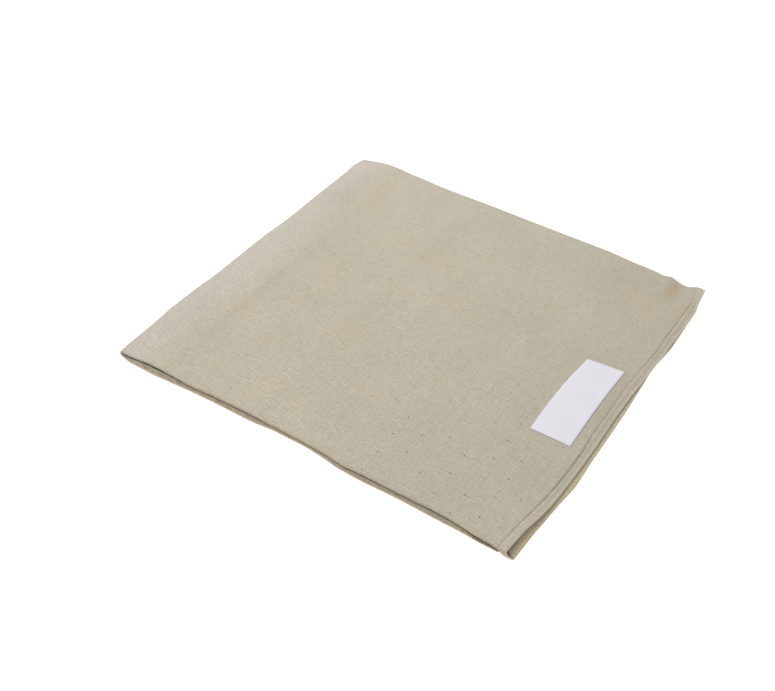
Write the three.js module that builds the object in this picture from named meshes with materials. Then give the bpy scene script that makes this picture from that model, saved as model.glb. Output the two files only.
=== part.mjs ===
// Folded bath sheet
// One length of woven double cloth, about 1.0 m wide and 1.5 m long, with a stitched hem at each short end.
// It is folded in half along its length, which makes a pair of layers joined at the front fold, and the
// pair is then folded in thirds: the top third turns down at the left fold into the low third, and that
// turns up at the right fold into the middle third, which lies between the other two.
// Millimetres, +Z up. +X runs along the front fold, and +Y runs away from it, to the open selvedges.

import * as THREE from 'three';

const { lerp, smoothstep } = THREE.MathUtils;

// Cloth, hems and label

const CLOTH_THICKNESS = 1.0;
const LAYER_GAP = 0.3;
const LAYER_PITCH = CLOTH_THICKNESS + LAYER_GAP;
const GAPS_IN_STACK = 5;
const HEM_WIDTH = 10.2;
const HEM_THICKNESS = 1.9;
const HEM_EXTRA = HEM_THICKNESS - CLOTH_THICKNESS;
const HEM_EDGE_ROUND = 0.35;
const LABEL_THICKNESS = 1.0;
const LABEL_GAP = 0.35;

// Where the folds lie

const FRONT_LINE = -245;
const BACK_LINE = 249;
const RIGHT_FOLD = { x: 226, frontX: 229, from: -242, to: -224 };
const MIDDLE_HEM = { x: -213, sway: 3, swayFrom: -60, swayLength: 95, innerLag: 4 };

// Lengths over which the layers settle past the middle hem's turned cloth and past the right fold

const PAST_HEM = { from: 12, to: 26 };
const PAST_RIGHT_FOLD = 16;

// How full each fold is: its depth as a share of half its height

const FRONT_FOLD_FULLNESS = { top: 0.92, middle: 1.0, low: 0.95 };
const LEFT_FOLD_FULLNESS = 1.15;
const RIGHT_FOLD_FULLNESS = 1.0;

// Front folds: the foremost reach of the top and the low third, one row for each place along the front

const FRONT_FOLDS = [
  { x: -258, top: -244.4, low: -245.6 },
  { x: -236, top: -245.8, low: -249.6 },
  { x: -208, top: -246.2, low: -250.2 },
  { x: -180, top: -245.6, low: -248.2 },
  { x: -150, top: -245.0, low: -246.4 },
  { x: -122, top: -242.8, low: -246.0 },
  { x: -70, top: -241.9, low: -245.1 },
  { x: -40, top: -241.6, low: -242.0 },
  { x: 0, top: -242.0, low: -241.7 },
  { x: 25, top: -244.2, low: -244.6 },
  { x: 52, top: -247.0, low: -248.1 },
  { x: 80, top: -245.6, low: -248.6 },
  { x: 120, top: -245.2, low: -247.0 },
  { x: 165, top: -244.6, low: -247.7 },
  { x: 190, top: -245.6, low: -247.3 },
  { x: 210, top: -247.4, low: -247.0 },
  { x: 232, top: -248.2, low: -247.0 },
  { x: 256, top: -248.4, low: -247.0 },
];

// The middle third's front fold lies behind the low third's, which bulges up in front of it

const MIDDLE_SETBACK = { most: 15, least: 2, from: 206, to: 228 };
const LOW_BULGE = { full: 3, gone: 13, under: 1.45 };
const LOW_BULGE_ALONG = { leftNone: -256, leftFull: -232, rightFull: 188, rightNone: 212 };

// Right hems: the free edge of the upper and the lower layer of the top third

const RIGHT_HEMS = [
  { y: -248, upper: 246.0, lower: 255.0 },
  { y: -212, upper: 249.2, lower: 256.4 },
  { y: -186, upper: 253.2, lower: 258.1 },
  { y: -160, upper: 255.6, lower: 260.1 },
  { y: -125, upper: 256.8, lower: 262.8 },
  { y: -90, upper: 257.4, lower: 261.8 },
  { y: -50, upper: 257.0, lower: 261.5 },
  { y: -10, upper: 256.4, lower: 261.4 },
  { y: 30, upper: 256.8, lower: 260.0 },
  { y: 60, upper: 257.9, lower: 258.2 },
  { y: 85, upper: 258.9, lower: 257.4 },
  { y: 107, upper: 260.0, lower: 260.0 },
  { y: 130, upper: 260.0, lower: 261.6 },
  { y: 160, upper: 261.3, lower: 261.3 },
  { y: 200, upper: 261.3, lower: 259.2 },
  { y: 218, upper: 258.6, lower: 256.8 },
  { y: 248, upper: 255.6, lower: 254.2 },
];

// Left fold: its outermost reach

const LEFT_FOLD = [
  { y: -246, x: -258.7 },
  { y: -225, x: -260.9 },
  { y: -190, x: -261.1 },
  { y: -150, x: -263.1 },
  { y: -110, x: -262.7 },
  { y: -70, x: -260.4 },
  { y: 20, x: -260.9 },
  { y: 75, x: -258.3 },
  { y: 130, x: -258.8 },
  { y: 205, x: -258.3 },
  { y: 226, x: -259.5 },
  { y: 244, x: -256.9 },
];

// Back selvedge: the edge of the top layer, and how far short of it each third ends

const BACK_SELVEDGE = [
  { x: -260, y: 242.0 },
  { x: -248, y: 248.6 },
  { x: -212, y: 252.5 },
  { x: -170, y: 251.2 },
  { x: -110, y: 249.3 },
  { x: -50, y: 249.7 },
  { x: 86, y: 248.9 },
  { x: 122, y: 249.0 },
  { x: 157, y: 246.4 },
  { x: 189, y: 245.0 },
  { x: 203, y: 243.2 },
  { x: 212, y: 244.2 },
  { x: 217, y: 243.0 },
  { x: 225, y: 240.6 },
  { x: 232, y: 239.0 },
  { x: 238, y: 240.4 },
  { x: 245.5, y: 245.4 },
  { x: 250.5, y: 246.6 },
  { x: 258, y: 246.0 },
];
const BACK_SETBACK = { top: 0, middle: 3.2, low: 1.4 };
const INNER_SELVEDGE_SETBACK = 1.6;

// Top third from left to right: heights of its inner and its outer layer where they lie on the others

const TOP_THIRD = [
  { x: -259, inner: 3.5, outer: 4.8 },
  { x: -246, inner: 4.6, outer: 5.9 },
  { x: -230, inner: 6.2, outer: 7.5 },
  { x: -214, inner: 7.6, outer: 8.9 },
  { x: -200, inner: 7.6, outer: 8.9 },
  { x: -184, inner: 6.5, outer: 7.8 },
  { x: -160, inner: 5.9, outer: 7.2 },
  { x: -120, inner: 5.7, outer: 7.0 },
  { x: 229, inner: 5.7, outer: 7.0 },
  { x: 233, inner: 5.0, outer: 7.0 },
  { x: 237.5, inner: 3.5, outer: 7.0 },
  { x: 242, inner: 2.6, outer: 7.0 },
  { x: 247, inner: 2.1, outer: 7.0 },
  { x: 251, inner: 1.8, outer: 7.0 },
  { x: 266, inner: 1.6, outer: 7.0 },
];

// Outer layer's sag beside its hem, which the front fold holds up

const HEM_SAG = { front: 0.9, drop: 3.0, back: 1.2, from: 10, to: 2 };
const HEM_SAG_ALONG = { freeAt: -230, fullAt: -146, backFrom: 200, backTo: 240 };

// Soft ridges and troughs that run along Y across all layers

const RIDGE_FADE = 28;
const SOFT_RIDGES = [
  { x: -243, lean: 0.0, width: 22, from: -205, to: 215, rise: 1.0 },
  { x: -196, lean: 0.06, width: 12, from: -150, to: 60, rise: 0.7 },
  { x: -150, lean: -0.05, width: 20, from: -215, to: -60, rise: 0.6 },
  { x: -72, lean: 0.0, width: 15, from: -240, to: 180, rise: 0.7 },
  { x: -10, lean: 0.08, width: 14, from: -60, to: 130, rise: 0.6 },
  { x: 70, lean: -0.06, width: 30, from: -210, to: 120, rise: 0.5 },
  { x: 160, lean: 0.0, width: 16, from: -200, to: 150, rise: 0.55 },
];

// Ripple in the top third, at the back selvedge near its hem

const BACK_RIPPLE = { x: 212, width: 6.5, from: 190, to: 240, rise: 1.5 };

// Roll of each pair at the front fold, and open mouth at the left corner

const FRONT_ROLL = { rise: 0.28, reach: 14 };
const MOUTH = { x: -196, width: 42, reach: 55, rise: 1.1 };

// Where the cloth is divided into facets

const HEM_STEPS = [0, 1.4, 5, 8.8, HEM_WIDTH, 12.6];
const SHARED = { right: 212, left: -170, spans: 13 };
const TOP_TO_HEM_SPANS = 4;
const TOP_RIGHT_STATIONS = [205, 197];
const TOP_LEFT_STATIONS = [-187, -202, -216, -232, -247];
const LOW_LEFT_STATIONS = [-236, -205];
const LEFT_FOLD_SPANS = 8;
const RIGHT_FOLD_SPANS = 6;
const FRONT_FOLD_SPANS = 6;
const FRONT_INSETS = [0, 3, 6.5, 11, 22];
const FLAT_SPANS = 10;
const SETTLING_PASSES = 3;

// Label: its corners on the top layer, seen from above, and how far its long sides bow to the left

const LABEL_CORNERS = {
  backLeft: { x: 190.8, y: 47.9 },
  backRight: { x: 235.7, y: 51.4 },
  frontLeft: { x: 187.8, y: -87.9 },
  frontRight: { x: 235.8, y: -87.9 },
};
const LABEL_BOW = { left: 3.0, right: 1.3 };
const LABEL_SPANS = { across: 4, along: 8 };

// Colours

const CLOTH_COLOUR = 0xc3bca7;
const LABEL_COLOUR = 0xe9e8ec;

/** Value of one column of a table, on a smooth line that never swings past its rows. */
function follow(rows, key, column, at) {
  const last = rows.length - 1;
  if (at <= rows[0][key]) return rows[0][column];
  if (at >= rows[last][key]) return rows[last][column];
  let i = 0;
  while (rows[i + 1][key] < at) i += 1;
  const slope = (n) => (rows[n + 1][column] - rows[n][column]) / (rows[n + 1][key] - rows[n][key]);
  const tangent = (n) => {
    if (n === 0) return slope(0);
    if (n === last) return slope(last - 1);
    const [before, after] = [slope(n - 1), slope(n)];
    return before * after <= 0 ? 0 : (2 * before * after) / (before + after);
  };
  const span = rows[i + 1][key] - rows[i][key];
  const t = (at - rows[i][key]) / span;
  const ease = t * t * (3 - 2 * t);
  const leave = span * t * (1 - t) * (1 - t) * tangent(i);
  const arrive = span * t * t * (1 - t) * tangent(i + 1);
  return lerp(rows[i][column], rows[i + 1][column], ease) + leave - arrive;
}

function bell(distance, reach) {
  return Math.exp(-((distance / reach) ** 2));
}

/** Height that the soft ridges add to the top layer. The layers below share it in proportion. */
function softRidges(x, y) {
  let rise = 0;
  for (const ridge of SOFT_RIDGES) {
    const starts = smoothstep(y, ridge.from - RIDGE_FADE, ridge.from + RIDGE_FADE);
    const ends = smoothstep(y, ridge.to - RIDGE_FADE, ridge.to + RIDGE_FADE);
    rise += ridge.rise * bell(x - ridge.x - ridge.lean * y, ridge.width) * starts * (1 - ends);
  }
  return rise;
}

/** Free edge of the middle third, whose inner layer ends a little further on. */
function middleHemX(y, outward) {
  const sway = MIDDLE_HEM.sway * Math.sin((y - MIDDLE_HEM.swayFrom) / MIDDLE_HEM.swayLength);
  return MIDDLE_HEM.x + sway - (MIDDLE_HEM.innerLag * (1 - outward)) / 2;
}

/** Free edge of the top third. outward is 1 on the outer layer, -1 on the inner one. */
function rightHemX(y, outward) {
  const upper = follow(RIGHT_HEMS, 'y', 'upper', y);
  const lower = follow(RIGHT_HEMS, 'y', 'lower', y);
  return lerp(lower, upper, (1 + outward) / 2);
}

/** Middle of the right fold's turn. */
function rightFoldX(y) {
  return lerp(RIGHT_FOLD.frontX, RIGHT_FOLD.x, smoothstep(y, RIGHT_FOLD.from, RIGHT_FOLD.to));
}

/** How far the outer layer sags between the right fold and its own hem. */
function hemSag(x, y) {
  const toHem = rightHemX(y, 1) - x;
  const sags = 1 - smoothstep(toHem, HEM_SAG.to, HEM_SAG.from);
  const { freeAt, fullAt, backFrom, backTo } = HEM_SAG_ALONG;
  const drop = lerp(HEM_SAG.front, HEM_SAG.drop, smoothstep(y, freeAt, fullAt));
  return sags * lerp(drop, HEM_SAG.back, smoothstep(y, backFrom, backTo));
}

/** Foremost reach of each third's front fold at one place along the front. */
function frontReach(x) {
  const low = follow(FRONT_FOLDS, 'x', 'low', x);
  const towardsFold = smoothstep(x, MIDDLE_SETBACK.from, MIDDLE_SETBACK.to);
  const middle = low + lerp(MIDDLE_SETBACK.most, MIDDLE_SETBACK.least, towardsFold);
  return { top: follow(FRONT_FOLDS, 'x', 'top', x), middle, low };
}

/** How much the low third's inner layer bulges up at the front fold, between nothing and all of its room. */
function lowBulge(x, y) {
  const inset = y - frontReach(x).low;
  const starts = smoothstep(x, LOW_BULGE_ALONG.leftNone, LOW_BULGE_ALONG.leftFull);
  const ends = 1 - smoothstep(x, LOW_BULGE_ALONG.rightFull, LOW_BULGE_ALONG.rightNone);
  return starts * ends * (1 - smoothstep(inset, LOW_BULGE.full, LOW_BULGE.gone));
}

/** Heights of the six layers' middles above the floor at one place. */
function layerHeights(x, y) {
  const inset = y - FRONT_LINE;
  const roll = FRONT_ROLL.rise * bell(inset, FRONT_ROLL.reach);
  const share = softRidges(x, y) / GAPS_IN_STACK;
  const pastHem = x - middleHemX(y, 1);
  const hem = 1 - smoothstep(pastHem, PAST_HEM.from, PAST_HEM.to);
  const foldX = rightFoldX(y);
  const stacked = 1 - smoothstep(x, foldX, foldX + PAST_RIGHT_FOLD);
  const along = x > 0 ? x - foldX + RIGHT_FOLD.x : x;
  const mouth = MOUTH.rise * bell(x - MOUTH.x, MOUTH.width) * bell(inset, MOUTH.reach);
  const towardsBack = smoothstep(y, BACK_RIPPLE.from, BACK_RIPPLE.to);
  const lifted = mouth + BACK_RIPPLE.rise * bell(x - BACK_RIPPLE.x, BACK_RIPPLE.width) * towardsBack;
  const pair = LAYER_PITCH + roll + share;
  const lowOuter = CLOTH_THICKNESS / 2;
  const lowRest = lowOuter + pair;
  const middleInner = lowRest + LAYER_PITCH + share + (hem * HEM_EXTRA) / 2;
  const middleOuter = middleInner + pair + hem * HEM_EXTRA;
  const topInner = follow(TOP_THIRD, 'x', 'inner', along) + stacked * (2 * roll + 4 * share + lifted);
  const lowInner = lerp(lowRest, topInner - LOW_BULGE.under, lowBulge(x, y));
  const raised = (1 + 2 * stacked) * roll + GAPS_IN_STACK * share + lifted;
  const topOuter = follow(TOP_THIRD, 'x', 'outer', along) + raised - hemSag(x, y);
  return { lowOuter, lowInner, middleInner, middleOuter, topInner, topOuter };
}

/** Height of each third at one place, and half of its spread, between its inner and its outer layer. */
function thirds(x, y, outward) {
  const at = layerHeights(x, y);
  const level = (inner, outer) => (inner + outer) / 2 + (outward * (outer - inner)) / 2;
  return {
    top: level(at.topInner, at.topOuter),
    middle: level(at.middleInner, at.middleOuter),
    low: level(at.lowInner, at.lowOuter),
    half: {
      top: (at.topOuter - at.topInner) / 2,
      middle: (at.middleOuter - at.middleInner) / 2,
      low: (at.lowInner - at.lowOuter) / 2,
    },
  };
}

/** Places along the length of the cloth, from the top third's hem to the middle third's hem. */
function lengthwisePlaces() {
  const shared = [];
  for (let i = 0; i <= SHARED.spans; i += 1) {
    shared.push(lerp(SHARED.right, SHARED.left, i / SHARED.spans));
  }
  const bend = (third, next, spans) =>
    Array.from({ length: spans + 1 }, (_, i) => ({ third, next, turn: i / spans }));
  const flat = (third, x) => ({ third, next: third, turn: 0, x });
  const hem = (third, fromHem) => ({ third, next: third, turn: 0, fromHem });
  const places = HEM_STEPS.map((fromHem) => hem('top', fromHem));
  for (let i = 1; i < TOP_TO_HEM_SPANS; i += 1) {
    places.push({ third: 'top', next: 'top', turn: 0, toShared: i / TOP_TO_HEM_SPANS });
  }
  places.push(flat('top', SHARED.right), ...TOP_RIGHT_STATIONS.map((x) => flat('top', x)));
  places.push(...shared.slice(1).map((x) => flat('top', x)));
  places.push(...TOP_LEFT_STATIONS.map((x) => flat('top', x)));
  places.push(...bend('top', 'low', LEFT_FOLD_SPANS));
  places.push(...LOW_LEFT_STATIONS.map((x) => flat('low', x)));
  places.push(...shared.toReversed().map((x) => flat('low', x)));
  places.push(...bend('low', 'middle', RIGHT_FOLD_SPANS));
  places.push(...shared.map((x) => flat('middle', x)));
  places.push({ third: 'middle', next: 'middle', turn: 0, toShared: 0.5 });
  places.push(...HEM_STEPS.toReversed().map((fromHem) => hem('middle', fromHem)));
  return places;
}

/** Rows across the width, from the outer layer's selvedge round the front fold to the inner layer's. */
function crosswiseRows() {
  const flat = [];
  for (let i = FLAT_SPANS; i > 0; i -= 1) flat.push({ share: i / FLAT_SPANS, inset: FRONT_INSETS.at(-1) });
  for (const inset of FRONT_INSETS.toReversed()) flat.push({ share: 0, inset });
  const outer = flat.map((row) => ({ ...row, outward: 1, forward: 0 }));
  const inner = flat.toReversed().map((row) => ({ ...row, outward: -1, forward: 0 }));
  const bend = [];
  for (let i = 1; i < FRONT_FOLD_SPANS; i += 1) {
    const turn = (Math.PI * i) / FRONT_FOLD_SPANS;
    bend.push({ share: 0, inset: 0, outward: Math.cos(turn), forward: Math.sin(turn) });
  }
  return [...outer, ...bend, ...inner];
}

/** Middle of the left fold's turn, set back from its outermost reach by its own depth. */
function leftFoldX(y) {
  const reach = follow(LEFT_FOLD, 'y', 'x', y);
  const at = layerHeights(reach, y);
  const depth = (LEFT_FOLD_FULLNESS * (at.topOuter - at.lowOuter)) / 2;
  return reach + depth + CLOTH_THICKNESS / 2;
}

function stationX(place, row, y) {
  if (place.third !== place.next) return place.third === 'top' ? leftFoldX(y) : rightFoldX(y);
  if (place.x !== undefined) return place.x;
  const top = place.third === 'top';
  const edge = top ? rightHemX(y, row.outward) : middleHemX(y, row.outward);
  const inward = top ? -1 : 1;
  if (place.fromHem !== undefined) return edge + inward * place.fromHem;
  return lerp(edge + inward * HEM_STEPS.at(-1), top ? SHARED.right : SHARED.left, place.toShared);
}

/** Middle of the cloth at one place along its length and one row across its width. */
function clothPoint(place, row) {
  const blend = (values) => lerp(values[place.third], values[place.next], place.turn);
  let y = lerp(FRONT_LINE, BACK_LINE, row.share);
  let x = 0;
  for (let pass = 0; pass < SETTLING_PASSES; pass += 1) {
    x = stationX(place, row, y);
    const depth = blend(FRONT_FOLD_FULLNESS) * blend(thirds(x, FRONT_LINE, 0).half);
    const foldY = blend(frontReach(x)) + CLOTH_THICKNESS / 2 + depth;
    const setback = blend(BACK_SETBACK) + (INNER_SELVEDGE_SETBACK * (1 - row.outward)) / 2;
    const back = follow(BACK_SELVEDGE, 'x', 'y', x) - setback;
    y = lerp(foldY + row.inset, back, row.share) - row.forward * depth;
  }
  const at = thirds(x, y, row.outward);
  if (place.third === place.next) return new THREE.Vector3(x, y, at[place.third]);
  const turn = Math.PI * place.turn;
  const centre = (at[place.third] + at[place.next]) / 2;
  const half = (at[place.third] - at[place.next]) / 2;
  const left = place.third === 'top';
  const depth = Math.abs(half) * (left ? LEFT_FOLD_FULLNESS : RIGHT_FOLD_FULLNESS);
  const foldX = x + (left ? -1 : 1) * depth * Math.sin(turn);
  return new THREE.Vector3(foldX, y, centre + half * Math.cos(turn));
}

/** Half of the cloth's thickness, which grows over the turned hem and sinks at its stitching. */
function halfThickness(place) {
  const plain = CLOTH_THICKNESS / 2;
  if (place.fromHem === undefined || place.fromHem >= HEM_WIDTH) return plain;
  const round = place.fromHem === 0 ? HEM_EDGE_ROUND : 0;
  return plain + HEM_EXTRA / 2 - round;
}

function direction(from, middle, to) {
  const sum = new THREE.Vector3();
  if (from) sum.add(middle.clone().sub(from).normalize());
  if (to) sum.add(to.clone().sub(middle).normalize());
  return sum.normalize();
}

/**
 * Closed solid between two faces on either side of a grid of points. The cells where turned is true are
 * divided along their other diagonal, so that layers above each other are divided alike.
 */
function sheetSolid(grid, halfThicknessAt, turned) {
  const columns = grid.length;
  const last = columns - 1;
  const rows = grid[0].length;
  const outer = [];
  const inner = [];
  for (let i = 0; i < columns; i += 1) {
    for (let j = 0; j < rows; j += 1) {
      const along = direction(grid[i - 1]?.[j], grid[i][j], grid[i + 1]?.[j]);
      const across = direction(grid[i][j - 1], grid[i][j], grid[i][j + 1]);
      const offset = along.cross(across).normalize().multiplyScalar(halfThicknessAt(i));
      outer.push(grid[i][j].clone().add(offset));
      inner.push(grid[i][j].clone().sub(offset));
    }
  }
  const faces = [];
  const quad = (a, b, c, d, other = false) => {
    faces.push(...(other ? [a, b, d, b, c, d] : [a, b, c, a, c, d]));
  };
  const outside = (i, j) => i * rows + j;
  const inside = (i, j) => outer.length + i * rows + j;
  for (let i = 0; i < columns - 1; i += 1) {
    for (let j = 0; j < rows - 1; j += 1) {
      const other = turned(i, j);
      quad(outside(i, j), outside(i + 1, j), outside(i + 1, j + 1), outside(i, j + 1), other);
      quad(inside(i, j), inside(i, j + 1), inside(i + 1, j + 1), inside(i + 1, j), other);
    }
    quad(outside(i + 1, 0), outside(i, 0), inside(i, 0), inside(i + 1, 0));
    quad(outside(i, rows - 1), outside(i + 1, rows - 1), inside(i + 1, rows - 1), inside(i, rows - 1));
  }
  for (let j = 0; j < rows - 1; j += 1) {
    quad(outside(0, j), outside(0, j + 1), inside(0, j + 1), inside(0, j));
    quad(outside(last, j + 1), outside(last, j), inside(last, j), inside(last, j + 1));
  }
  const geometry = new THREE.BufferGeometry().setFromPoints([...outer, ...inner]);
  geometry.setIndex(faces);
  geometry.computeVertexNormals();
  return geometry;
}

function bathSheet() {
  const places = lengthwisePlaces();
  const rows = crosswiseRows();
  const grid = places.map((place) => rows.map((row) => clothPoint(place, row)));
  const material = new THREE.MeshStandardMaterial({ color: CLOTH_COLOUR, roughness: 0.95, metalness: 0 });
  const turned = (i, j) => (places[i].third === 'low') === (rows[j].outward >= 0);
  const mesh = new THREE.Mesh(sheetSolid(grid, (i) => halfThickness(places[i]), turned), material);
  mesh.name = 'bath_sheet';
  return mesh;
}

/** Label, which follows the top layer a small gap above it. */
function sewnLabel() {
  const { backLeft, backRight, frontLeft, frontRight } = LABEL_CORNERS;
  const lift = CLOTH_THICKNESS / 2 + LABEL_GAP + LABEL_THICKNESS / 2;
  const grid = [];
  for (let i = 0; i <= LABEL_SPANS.across; i += 1) {
    const across = i / LABEL_SPANS.across;
    const column = [];
    for (let j = 0; j <= LABEL_SPANS.along; j += 1) {
      const along = j / LABEL_SPANS.along;
      const bow = lerp(LABEL_BOW.left, LABEL_BOW.right, across) * Math.sin(Math.PI * along);
      const front = lerp(frontLeft.x, frontRight.x, across);
      const back = lerp(backLeft.x, backRight.x, across);
      const x = lerp(front, back, along) - bow;
      const y = lerp(lerp(frontLeft.y, frontRight.y, across), lerp(backLeft.y, backRight.y, across), along);
      column.push(new THREE.Vector3(x, y, layerHeights(x, y).topOuter + lift));
    }
    grid.push(column);
  }
  const material = new THREE.MeshStandardMaterial({ color: LABEL_COLOUR, roughness: 0.5, metalness: 0 });
  const mesh = new THREE.Mesh(sheetSolid(grid, () => LABEL_THICKNESS / 2, () => false), material);
  mesh.name = 'sewn_label';
  return mesh;
}

const sheet = bathSheet();
const foldedBathSheet = new THREE.Group();
foldedBathSheet.add(sheet, sewnLabel());

// The origin is under the middle of the folded cloth, on the surface that it lies on

const box = new THREE.Box3().setFromObject(sheet);
const middle = box.getCenter(new THREE.Vector3());
foldedBathSheet.position.set(-middle.x, -middle.y, -box.min.z);
foldedBathSheet.updateMatrixWorld(true);

export default foldedBathSheet;
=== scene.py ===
"""Folded bath sheet of woven double cloth, dressed over its CAD frame.

The cloth is one length, folded in half along its length, which makes a pair of layers joined at the front
fold. The pair is folded in thirds: the top third turns down at the left fold into the low third, and that
turns up at the right fold into the middle third. Tables are in millimetres, +X along the front fold, +Y away.
"""

import logging
from dataclasses import dataclass
from enum import Enum
from typing import ClassVar, NamedTuple

import bmesh
import bpy
import numpy as np
from mathutils import Matrix, Vector, noise


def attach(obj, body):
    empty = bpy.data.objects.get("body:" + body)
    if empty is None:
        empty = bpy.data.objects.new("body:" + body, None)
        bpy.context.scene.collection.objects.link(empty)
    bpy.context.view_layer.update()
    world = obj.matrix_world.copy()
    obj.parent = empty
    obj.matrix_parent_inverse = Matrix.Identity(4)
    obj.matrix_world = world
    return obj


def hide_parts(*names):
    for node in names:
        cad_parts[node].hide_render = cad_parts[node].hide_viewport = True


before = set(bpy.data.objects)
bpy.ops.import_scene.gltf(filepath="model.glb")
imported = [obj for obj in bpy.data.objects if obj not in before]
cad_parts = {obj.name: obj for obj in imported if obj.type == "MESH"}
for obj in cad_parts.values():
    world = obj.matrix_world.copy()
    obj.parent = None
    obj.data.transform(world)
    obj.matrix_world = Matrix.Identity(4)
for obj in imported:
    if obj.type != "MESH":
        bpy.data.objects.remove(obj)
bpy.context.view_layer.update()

Array = np.ndarray
BMesh = bmesh.types.BMesh
Material = bpy.types.Material
Socket = bpy.types.NodeSocket
Row = tuple[float, ...]
Span = tuple[float, float]
Triple = tuple[float, float, float]
Amounts = tuple[tuple[str, float], ...]

MM = 0.001
LOG = logging.getLogger("bath_sheet")

# Where the tables' zero lies in the frame of the part, and the slots and nodes of its record

TABLE_ORIGIN = (0.17302, -1.14249)
BODY = "root"
CLOTH_NODE = "bath_sheet"
LABEL_NODE = "sewn_label"
CLOTH_SLOT = "cloth"
MAP_NAME = "weave"


class Third(Enum):
    """The thirds that the doubled cloth is folded in."""

    TOP = "top"
    LOW = "low"
    MIDDLE = "middle"


class FrontRow(NamedTuple):
    """Foremost reach of the top and the low third's front fold at one place along the front."""

    x: float
    top: float
    low: float


class HemRow(NamedTuple):
    """Free edge of the top third's upper and lower layer, and the width of the cloth that is turned there."""

    y: float
    upper: float
    lower: float
    turned: float


class EdgeRow(NamedTuple):
    """A place on an edge of the folded cloth, seen from above."""

    x: float
    y: float


class LayerRow(NamedTuple):
    """Heights of the top third's inner and outer layer where they lie on the others."""

    x: float
    inner: float
    outer: float


class Ridge(NamedTuple):
    """A soft ridge or trough that runs along Y across the layers."""

    x: float
    lean: float
    width: float
    start: float
    end: float
    rise: float


class Swell(NamedTuple):
    """Smooth unevenness: its rise, the size of its features along X and Y, and its seed."""

    rise: float
    across: float
    along: float
    seed: float


class Patch(NamedTuple):
    """A soft patch of the top layer that is darker or warmer than the rest."""

    x: float
    y: float
    across: float
    along: float
    dark: float
    warm: float


def table(kind: type, *rows: tuple) -> tuple:
    """Give every row of a table its named columns."""
    return tuple(kind(*row) for row in rows)


FRONT_FOLDS = table(
    FrontRow,
    (-258, -244.0, -245.2), (-236, -245.4, -249.6), (-208, -244.9, -250.3), (-180, -244.2, -248.4),
    (-150, -243.8, -246.3), (-122, -241.8, -245.3), (-70, -240.8, -244.9), (-40, -240.6, -241.9),
    (0, -240.9, -241.7), (25, -242.2, -244.0), (52, -244.8, -247.4), (80, -244.0, -247.8),
    (120, -243.6, -246.4), (165, -243.0, -247.2), (190, -244.2, -247.1), (210, -246.2, -247.2),
    (232, -247.9, -247.6), (243, -249.2, -246.6), (256, -248.4, -246.6),
)

RIGHT_HEMS = table(
    HemRow,
    (-248, 246.0, 254.6, 9.2), (-212, 249.2, 256.2, 9.1), (-186, 253.2, 258.1, 9.3),
    (-160, 255.6, 260.1, 8.5), (-125, 256.8, 263.2, 7.9), (-90, 257.4, 262.1, 8.0), (-50, 257.0, 261.8, 9.7),
    (-10, 256.4, 261.4, 9.0), (30, 256.8, 260.0, 9.9), (60, 258.4, 258.7, 9.8), (85, 259.0, 257.6, 9.0),
    (107, 260.2, 260.2, 8.8), (130, 260.0, 261.6, 9.3), (160, 261.3, 261.3, 10.0), (200, 261.3, 259.2, 9.6),
    (218, 258.6, 256.8, 8.5), (248, 256.2, 254.8, 8.5),
)

LEFT_FOLD = table(
    EdgeRow,
    (-258.7, -246), (-260.9, -225), (-261.1, -190), (-263.1, -150), (-262.7, -110), (-260.4, -70),
    (-260.6, 20), (-257.8, 75), (-258.2, 130), (-258.0, 205), (-259.5, 226), (-256.9, 244),
)

BACK_SELVEDGE = table(
    EdgeRow,
    (-260, 242.0), (-248, 248.3), (-212, 251.7), (-170, 251.2), (-110, 249.3), (-50, 249.7), (86, 248.9),
    (122, 249.3), (157, 246.4), (189, 245.0), (203, 243.2), (212, 244.2), (217, 243.0), (225, 240.6),
    (232, 239.0), (238, 240.4), (245.5, 245.4), (250.5, 246.6), (258, 246.0),
)

TOP_THIRD = table(
    LayerRow,
    (-259, 3.5, 4.8), (-246, 4.6, 5.9), (-230, 6.2, 7.5), (-214, 7.6, 8.9), (-200, 7.6, 8.9),
    (-184, 6.5, 7.8), (-160, 5.9, 7.2), (-120, 5.7, 7.0), (229, 5.7, 7.0), (233, 5.0, 7.0), (237.5, 3.5, 7.0),
    (242, 2.6, 7.0), (247, 2.1, 7.0), (251, 1.8, 7.0), (266, 1.6, 7.0),
)

SOFT_RIDGES = table(
    Ridge,
    (-243, 0.0, 22, -205, 215, 1.0), (-196, 0.06, 12, -150, 60, 0.7), (-150, -0.05, 20, -215, -60, 0.6),
    (-72, 0.0, 15, -240, 180, 0.7), (-10, 0.08, 14, -60, 130, 0.6), (70, -0.06, 30, -210, 120, 0.5),
    (160, 0.0, 16, -200, 150, 0.55),
)

PATCHES = table(
    Patch,
    (223, 227, 5, 12, 0.6, 1.2), (224, 212, 7, 13, 0.3, 0.9), (216, 177, 9, 12, 0.0, 0.5),
    (246, 184, 4, 22, 0.1, 0.6), (180, 205, 60, 42, 0.24, 0.15), (241, 0, 6, 60, 0.35, 0.0),
    (-230, 150, 22, 60, 0.3, -0.1), (-230, -150, 22, 50, 0.25, -0.1), (-60, -200, 110, 30, -0.12, 0.0),
    (-10, 0, 45, 50, -0.12, 0.0), (-222, 205, 8, 22, 0.25, 0.1), (-222, 150, 8, 14, 0.3, 0.1),
    (-60, 190, 16, 30, 0.2, 0.1), (-240, -40, 14, 120, 0.02, -0.3), (-150, 0, 35, 70, 0.08, 0.0),
    (205, -150, 20, 50, 0.1, 0.0),
)


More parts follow.
